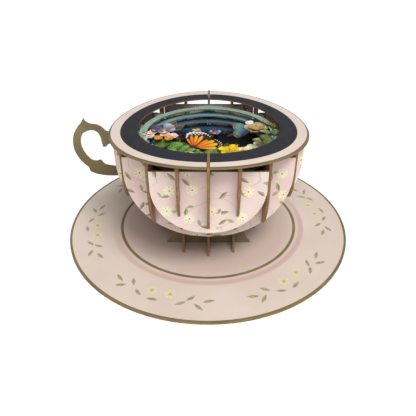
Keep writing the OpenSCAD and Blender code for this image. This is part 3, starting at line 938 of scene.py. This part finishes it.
tealLook = {
    "at": (21.4, 14.8, gardenFloor + 0.1),
    "lean": 48,
    "upper": [(0.4, 3.4), (-1.4, 6.4), (-4.4, 8.2), (-7.6, 8.4), (-8.2, 6.4), (-7, 4.2), (-3.6, 3.4)],
    "lower": [(0.4, 3.8), (-3.8, 4.2), (-7.2, 3.9), (-8.2, 2.2), (-7, 0.4), (-4, 0.1), (-1.2, 1.4)],
    "upperCells": [(128, 0.6, 4.6, "blueCell"), (140, 0.6, 6.6, "tealCell"), (151, 0.6, 7.4, "tealCell"),
                   (163, 0.6, 7.2, "tealCell"), (173, 0.6, 5.6, "blueCell")],
    "lowerCells": [(182, 0.6, 6.4, "tealCell"), (193, 0.6, 6.9, "tealCell"), (205, 0.6, 6.0, "blueCell"),
                   (217, 0.6, 4.4, "blueCell")],
}


def makeTealButterfly():
    look = tealLook
    within = leaning(look)
    shapes = [makeWing(look["upper"], "wingTan", within),
              makeWing(look["lower"], "wingTan", within @ Matrix.Translation((0, 0, 0.15 * mm)))]
    shapes += wingCells(look["upperCells"], "broadCell", 0.4, 3.6, 0.1, within)
    shapes += wingCells(look["lowerCells"], "broadCell", 0.4, 3.6, 0.25, within)
    for i in range(5):
        shapes.append(put("heart", "wingTeal", 0.7 - 0.1 * i, 5.0 - 0.7 * i, 0.45, 0, 1.1 - 0.1 * i, 0, 0,
                          within))
    for side in (70, 95):
        shapes.append(put("frond", "wingTeal", 0.6, 5.2, 0.5, side, 3.0, 8, 0, within))
    return finishPiece("teal_butterfly_wings", "teal_butterfly", shapes)


makeOrangeButterfly()
makeTealButterfly()
print("butterflies made")

# leaves: shape, paper, place, direction, length, lift of the far end
leafLists = {
    "leaf_spray": [
        ("broadLeaf", "green", -27.4, -6.4, ring3 + 0.9, 20, 9.4, 2),
        ("broadLeaf", "green", -20.6, -9.6, ring3 + 0.6, 32, 9.2, 2),
        ("leaf", "green", -15.2, -13.0, ring3 + 0.3, 48, 8.6, 1),
        ("leaf", "green", -13.4, -13.6, ring3 + 0.5, 20, 8.0, 1),
        ("broadLeaf", "green", -8.6, -14.6, ring3 + 0.2, 50, 6.2, 2),
        ("leaf", "green", -8.8, -15.0, ring3, 12, 7.0, 2),
        ("broadLeaf", "green", -1.2, -15.6, ring3 + 0.2, 55, 6.4, 2),
        ("leaf", "green", 1.0, -15.0, ring3, 35, 8.2, 3),
        ("leaf", "olive", -24.6, -9.4, ring3 + 0.4, 60, 8.0, 2),
        ("leaf", "dusk", -18.4, -4.2, ring3 - 0.4, 70, 8.6, 0),
        ("leaf", "dusk", -12.6, -8.4, ring3 - 0.5, 92, 8.0, -2),
        ("leaf", "bark", -22.4, -5.6, ring3 - 0.3, 78, 8.0, -1),
        ("leaf", "straw", -14.6, -17.4, ring3 + 0.9, 8, 8.6, 0),
        ("leaf", "olive", -27.0, -12.4, ring3 + 0.4, 42, 8.0, 4),
        ("leaf", "green", -20.4, -18.2, ring3 + 0.4, 58, 9.0, 4),
        ("leaf", "olive", -12.0, -24.0, ring3 + 0.4, 76, 9.0, 5),
        ("leaf", "green", -4.0, -26.4, ring3 + 0.4, 95, 9.0, 5),
    ],
    "leaf_sprig": [
        ("leaf", "sage", 31.8, 6.6, ring1 + 0.5, 128, 5.6, 4),
        ("broadLeaf", "olive", 33.6, 3.8, ring1 + 0.4, 72, 4.6, 4),
        ("broadLeaf", "olive", 32.6, -5.0, ring1 + 0.4, 66, 5.4, 4),
        ("leaf", "sage", 31.4, -3.8, ring1 + 0.4, 158, 6.6, -2),
        ("broadLeaf", "olive", 29.4, -12.0, ring1 + 0.3, 122, 6.8, 0),
        ("leaf", "sage", 28.4, -12.6, ring1, 160, 7.4, -5),
        ("broadLeaf", "olive", 27.4, -16.6, ring1 + 0.4, 62, 6.2, 3),
    ],
}


def makeLeaves(node, stalks):
    shapes = [put(blade, paperName, x, y, z, turn, size, tilt, 5 * math.sin(7.3 * x)) for blade, paperName,
              x, y, z, turn, size, tilt in leafLists[node]]
    shapes += [stalk(*values) for values in stalks]
    return finishPiece(node + "_leaves", node, shapes)


makeLeaves("leaf_spray", [(30.4, 196, 270, ring3 + 0.35, 0.7)])
makeLeaves("leaf_sprig", [(33, -28, 26, ring1 + 0.35, 0.6)])
print("leaves made")

flowerLooks = {
    "yellow": {"blade": "wavyPetal", "petals": 7, "radius": 5.9, "turn": 14, "papers": ["yellow"],
               "heart": 1.8, "tilt": 3},
    "cream": {"blade": "widePetal", "petals": 6, "radius": 5.9, "layers": 2, "turn": 10,
              "papers": ["cream"], "heart": 1.6, "tilt": 6},
    "creamSmall": {"blade": "widePetal", "petals": 5, "radius": 4.6, "turn": 30, "papers": ["cream"],
                   "heart": 1.3, "tilt": 14},
    "peach": {"blade": "widePetal", "petals": 6, "radius": 6.2, "papers": ["peach"], "heart": 2.8,
              "tilt": 8, "heartPaper": "ember", "stamenPaper": "gold", "layers": 2},
    "pansy": {"blade": "widePetal", "petals": 5, "radius": 6.4, "turn": -18, "tilt": 4,
              "papers": ["lilac", "lilac", "plum", "plum", "lilac"], "heart": 2.6},
    "violet": {"blade": "widePetal", "petals": 5, "radius": 3.9, "turn": 10, "papers": ["lilac", "plum"],
               "heart": 1.5, "tilt": 14},
    "blush": {"blade": "widePetal", "petals": 5, "radius": 3.0, "turn": 10, "papers": ["blush"],
              "heart": 1.1, "tilt": 12},
    "amber": {"blade": "widePetal", "petals": 5, "radius": 2.6, "turn": 44, "papers": ["amber"],
              "heart": 1.2, "tilt": 12},
    "redBloom": {"blade": "petal", "petals": 5, "radius": 2.0, "papers": ["white", "wine"], "heart": 0.8,
                 "tilt": 14, "heartPaper": "rust"},
}


def makePansy():
    z = ring2 + 0.3
    shapes = flower(-23.4, 6.9, z, flowerLooks["pansy"])
    shapes.append(put("widePetal", "plum", -26.0, 7.6, z + 0.3, 166, 5.4, 8))
    for x, y, turn, size, name in ((-21.0, 12.6, 62, 6.8, "dusk"), (-17.8, 8.6, 50, 6.8, "dusk"),
                                   (-18.8, 11.2, 96, 5.4, "dusk")):
        shapes.append(put("leaf", name, x, y, ring2 - 0.2, turn, size, 2))
    for i in range(13):  # a dark brown tuft of narrow fronds beside it
        turn = -110 + 30 * i + 9 * math.sin(4.1 * i)
        shapes.append(put("frond", "bark", -17.2 + 0.6 * math.cos(i), 4.2 + 0.6 * math.sin(i),
                          ring3 - 0.6 + 0.08 * i, turn, 4.6 + 1.2 * math.sin(2.7 * i), 8 + 3 * math.cos(i)))
    return finishPiece("pansy_petals", "pansy", shapes)


def makeBlossoms():
    z = ring2 + 0.5
    shapes = []
    for x, y, name, lift in ((-29.4, 2.4, "blush", 0.3), (-30.2, -1.4, "blush", 0.1),
                             (-22.2, 0.2, "blush", 0.3), (-18.2, -1.0, "blush", 0.0),
                             (-25.4, -3.6, "amber", 0.3), (-20.2, -4.0, "amber", 0.2)):
        shapes += flower(x, y, z + lift, flowerLooks[name])
    for i in range(22):  # pale sprig leaves over the upper ring at the front left
        a = math.radians(184 + 1.9 * i)
        r = 33.2 + 1.5 * math.sin(2.3 * i)
        shapes.append(put("leaf", ("sage", "straw", "white")[i % 3], r * math.cos(a), r * math.sin(a),
                          ring1 + 0.15, 70 + 47 * i, 2.0, 4))
    return finishPiece("blossom_petals", "blossom_cluster", shapes)


def makeYellow():
    z = ring3 + 0.4
    shapes = flower(10.6, -13.2, z, flowerLooks["yellow"])
    shapes.append(put("wavyPetal", "yellow", 13.6, -15.6, z + 0.3, 10, 6.4, 1))
    shapes.append(put("leaf", "amber", 13.6, -17.6, z, 10, 7.0, 0))
    for i in range(6):
        shapes.append(put("frond", "wine", 14.6, -5.4, ring3 - 0.9 + 0.1 * i, 20 + 56 * i, 3.8, 6))
    shapes += flower(13.8, -1.2, ring3 - 1.4, flowerLooks["redBloom"])
    shapes.append(put("leaf", "dusk", 9.4, -5.6, ring3 - 1.5, 88, 6.4, 0))
    shapes.append(put("leaf", "green", 12.0, -21.5, ring3 + 0.2, 104, 6.0, -2))
    return finishPiece("yellow_flower_petals", "yellow_flower", shapes)


def makeCream():
    z = ring3 + 0.7
    shapes = flower(20.6, -13.2, z, flowerLooks["cream"])
    shapes += flower(25.0, -9.6, z + 0.5, flowerLooks["creamSmall"])
    shapes.append(put("leaf", "straw", 17.2, -16.0, z - 0.2, 24, 7.0, 1))
    shapes.append(put("leaf", "olive", 20.4, -17.6, z - 0.6, 84, 7.6, 4))
    return finishPiece("cream_flower_petals", "cream_flower", shapes)


def makePeach():
    z = ring2 + 1.6
    shapes = flower(24.4, 4.6, z, flowerLooks["peach"])
    for turn in (118, 150):
        shapes.append(put("petal", "white", 23.2, 9.2, z + 0.4, turn, 4.8, 10))
    return finishPiece("peach_flower_petals", "peach_flower", shapes)


def makeViolet():
    z = gardenFloor + 0.9
    shapes = flower(3.2, 17.0, z, flowerLooks["violet"])
    for x, y, turn, size, name in ((-4.8, 18.6, 158, 5.2, "straw"), (-5.0, 18.8, 112, 4.4, "straw"),
                                   (-8.0, 17.2, 190, 4.0, "straw"), (2.6, 14.2, 200, 4.6, "straw"),
                                   (9.8, 13.0, 24, 4.6, "bark"), (8.2, 17.0, 60, 4.6, "bark"),
                                   (-3.4, 15.6, 150, 4.6, "dusk")):
        shapes.append(put("leaf", name, x, y, z, turn, size, 8))
    return finishPiece("violet_petals", "violet", shapes)


for make in (makePansy, makeBlossoms, makeYellow, makeCream, makePeach, makeViolet):
    make()
for shape in blades.values():
    bpy.data.objects.remove(shape)
print("flowers made")


studio = {
    "floor": (0.30, 0.30, 0.298),
    "floorGlow": 0.78,
    "sunFrom": (0.27, -0.40, 0.80),
    "sunAngle": 26,
    "sunPower": 2.3,
    "frontPlace": (-0.02, -0.46, 0.50),
    "frontSize": 0.22,
    "frontPower": 0.9,
    "skyPower": 0.28,
}


def makeFloor():
    deselect()
    bpy.ops.mesh.primitive_plane_add(size=6, location=(0, 0, 0))
    floor = bpy.context.object
    floor.name = "studio_floor"
    mat, shader = startMaterial("floor_paper", 0.8, 0.1)
    shader.inputs["Base Color"].default_value = (*studio["floor"], 1)
    shader.inputs["Emission Color"].default_value = (1, 1, 1, 1)
    shader.inputs["Emission Strength"].default_value = studio["floorGlow"]
    floor.data.materials.append(mat)


def addLight(kind, name, place, power):
    bpy.ops.object.light_add(type=kind, location=place)
    light = bpy.context.object
    light.name = name
    light.data.energy = power
    light.rotation_mode = "QUATERNION"
    light.rotation_quaternion = (-light.location).to_track_quat("-Z", "Y")
    return light


makeFloor()
sun = addLight("SUN", "key_light", studio["sunFrom"], studio["sunPower"])
sun.data.angle = math.radians(studio["sunAngle"])
front = addLight("AREA", "front_light", studio["frontPlace"], studio["frontPower"])
front.data.size = studio["frontSize"]
world = bpy.data.worlds.new("studio_world")
world.use_nodes = True
world.node_tree.nodes["Background"].inputs["Color"].default_value = (1, 1, 1, 1)
world.node_tree.nodes["Background"].inputs["Strength"].default_value = studio["skyPower"]
bpy.context.scene.world = world
bpy.context.scene.view_settings.view_transform = "Standard"

cameraLook = {
    "elevation": 33.81,
    "azimuth": 0.23,
    "distance": 255.3 * mm,
    "targetHeight": 9.4 * mm,
    "lens": 37.5,
}


def makeCamera():
    e = math.radians(cameraLook["elevation"])
    a = math.radians(cameraLook["azimuth"])
    d = cameraLook["distance"]
    place = (d * math.sin(a) * math.cos(e), -d * math.cos(a) * math.cos(e),
             cameraLook["targetHeight"] + d * math.sin(e))
    bpy.ops.object.camera_add(location=place, rotation=(math.pi / 2 - e, 0, a))
    camera = bpy.context.object
    camera.data.lens = cameraLook["lens"]
    camera.data.sensor_width = 36
    camera.data.clip_start = 0.005
    bpy.context.scene.camera = camera


makeCamera()
print("studio ready")
